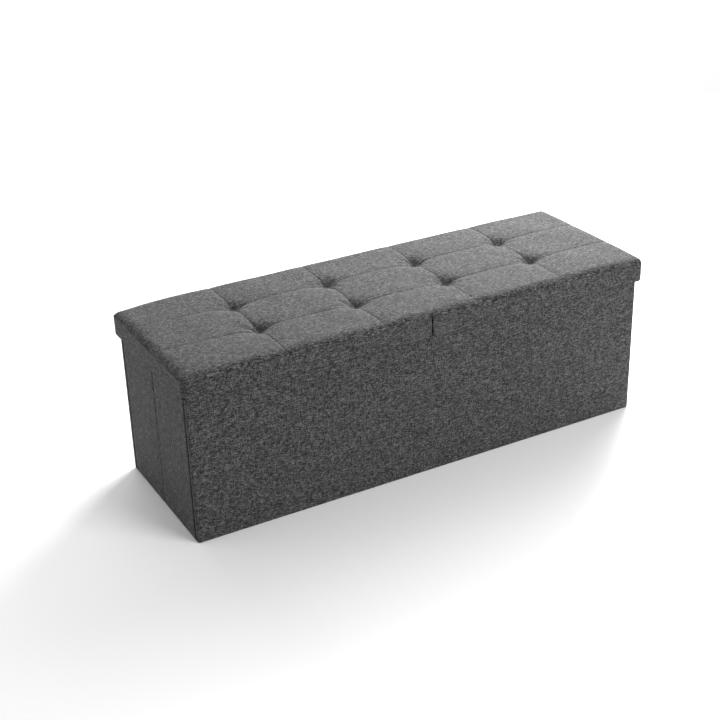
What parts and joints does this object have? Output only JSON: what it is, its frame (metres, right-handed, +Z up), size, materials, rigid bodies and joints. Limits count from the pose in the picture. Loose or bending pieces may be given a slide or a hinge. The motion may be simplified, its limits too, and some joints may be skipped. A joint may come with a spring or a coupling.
{
  "type": "storage bench",
  "caption": "Upholstered storage bench: a long fold-flat box of covered boards under a padded, tufted lid that lifts off and folds in half.",
  "frame": {"origin": "on the floor under the middle of the bench", "axes": "+X along the bench's length, +Y towards its rear, +Z up; the end panel with the left crease is at -X"},
  "size_m": [1.1, 0.38, 0.3811],
  "materials": {
    "seat_fabric": "heather linen-look weave",
    "side_fabric": "heather linen-look weave",
    "lining_cloth": "thin felted cloth",
    "wall_board": "fibreboard",
    "hardboard": "hardboard",
    "seat_board": "particle board",
    "foam": "open-cell foam",
    "cord": "waxed thread",
    "washer": "moulded",
    "staple_wire": "galvanised",
    "webbing": "woven webbing"
  },
  "bodies": {
    "rear_wall": {"rear_wall_board": "wall_board", "rear_wall_cover": "side_fabric", "rear_wall_lining": "lining_cloth", "rear_corner_tapes": "lining_cloth", "rear_flap_hinge": "lining_cloth", "brace_rear_tape": "lining_cloth", "floor_cloth": "lining_cloth"},
    "front_wall": {"front_wall_board": "wall_board", "front_wall_cover": "side_fabric", "front_wall_lining": "lining_cloth", "front_corner_tapes": "lining_cloth", "front_flap_hinge": "lining_cloth", "brace_front_tape": "lining_cloth"},
    "left_end_rear": {"left_end_rear_board": "wall_board", "left_end_rear_cover": "side_fabric", "left_end_rear_lining": "lining_cloth", "left_crease_seam": "side_fabric"},
    "left_end_front": {"left_end_front_board": "wall_board", "left_end_front_cover": "side_fabric", "left_end_front_lining": "lining_cloth"},
    "right_end_rear": {"right_end_rear_board": "wall_board", "right_end_rear_cover": "side_fabric", "right_end_rear_lining": "lining_cloth", "right_crease_seam": "side_fabric"},
    "right_end_front": {"right_end_front_board": "wall_board", "right_end_front_cover": "side_fabric", "right_end_front_lining": "lining_cloth"},
    "brace_rear": {"brace_rear_board": "wall_board", "brace_rear_cloth": "lining_cloth", "brace_crease_seam": "lining_cloth"},
    "brace_front": {"brace_front_board": "wall_board", "brace_front_cloth": "lining_cloth"},
    "rear_flap": {"rear_flap_board": "hardboard", "rear_flap_cloth": "lining_cloth", "rear_flap_pull_tab": "webbing"},
    "front_flap": {"front_flap_board": "hardboard", "front_flap_cloth": "lining_cloth", "front_flap_pull_tab": "webbing"},
    "lid_right": {"lid_right_seat_board": "seat_board", "lid_right_foam": "foam", "lid_right_seat_cover": "seat_fabric", "lid_right_skirt_boards": "hardboard", "lid_right_skirt_cover": "side_fabric", "lid_right_lining": "lining_cloth", "lid_right_tuft_cords": "cord", "lid_right_tuft_washers": "washer", "lid_right_staples": "staple_wire", "lid_fold_seam": "seat_fabric"},
    "lid_left": {"lid_left_seat_board": "seat_board", "lid_left_foam": "foam", "lid_left_seat_cover": "seat_fabric", "lid_left_skirt_boards": "hardboard", "lid_left_skirt_cover": "side_fabric", "lid_left_lining": "lining_cloth", "lid_left_tuft_cords": "cord", "lid_left_tuft_washers": "washer", "lid_left_staples": "staple_wire"}
  },
  "joints": [
    {"name": "box_fold", "type": "hinge", "parent": "rear_wall", "child": "left_end_rear", "pos_m": [-0.529, 0.158, 0.173], "axis": [0, 0, -1], "range_deg": [-88, 0], "deforming": ["floor_cloth"]},
    {"name": "left_crease", "type": "hinge", "parent": "left_end_rear", "child": "left_end_front", "pos_m": [-0.541, 0, 0.173], "axis": [0, 0, -1], "range_deg": [0, 176]},
    {"name": "left_front_corner", "type": "hinge", "parent": "left_end_front", "child": "front_wall", "pos_m": [-0.529, -0.158, 0.173], "axis": [0, 0, -1], "range_deg": [-88, 0]},
    {"name": "right_rear_corner", "type": "hinge", "parent": "rear_wall", "child": "right_end_rear", "pos_m": [0.529, 0.158, 0.173], "axis": [0, 0, -1], "range_deg": [0, 88]},
    {"name": "right_crease", "type": "hinge", "parent": "right_end_rear", "child": "right_end_front", "pos_m": [0.541, 0, 0.173], "axis": [0, 0, -1], "range_deg": [-176, 0]},
    {"name": "brace_rear_fold", "type": "hinge", "parent": "rear_wall", "child": "brace_rear", "pos_m": [0.0065, 0.158, 0.262], "axis": [0, 0, -1], "range_deg": [-88, 0]},
    {"name": "brace_crease", "type": "hinge", "parent": "brace_rear", "child": "brace_front", "pos_m": [-0.0055, 0, 0.262], "axis": [0, 0, -1], "range_deg": [0, 176]},
    {"name": "rear_flap_lift", "type": "hinge", "parent": "rear_wall", "child": "rear_flap", "pos_m": [0, 0.1642, 0.0072], "axis": [1, 0, 0], "range_deg": [-88, 0]},
    {"name": "front_flap_lift", "type": "hinge", "parent": "front_wall", "child": "front_flap", "pos_m": [0, -0.1642, 0.0072], "axis": [1, 0, 0], "range_deg": [0, 88]},
    {"name": "lid_lift", "type": "slide", "parent": "rear_wall", "child": "lid_right", "axis": [0, 0, 1], "range_m": [0, 0.45]},
    {"name": "lid_fold", "type": "hinge", "parent": "lid_right", "child": "lid_left", "pos_m": [0, 0, 0.3803], "axis": [0, 1, 0], "range_deg": [0, 178]}
  ],
  "couplings": [
    {"joint": "left_crease", "follows": "box_fold", "ratio": -2},
    {"joint": "left_front_corner", "follows": "box_fold", "ratio": 1},
    {"joint": "right_rear_corner", "follows": "box_fold", "ratio": -1},
    {"joint": "right_crease", "follows": "box_fold", "ratio": 2},
    {"joint": "brace_rear_fold", "follows": "box_fold", "ratio": 1},
    {"joint": "brace_crease", "follows": "box_fold", "ratio": -2},
    {"joint": "rear_flap_lift", "follows": "box_fold", "ratio": 1},
    {"joint": "front_flap_lift", "follows": "box_fold", "ratio": -1}
  ]
}
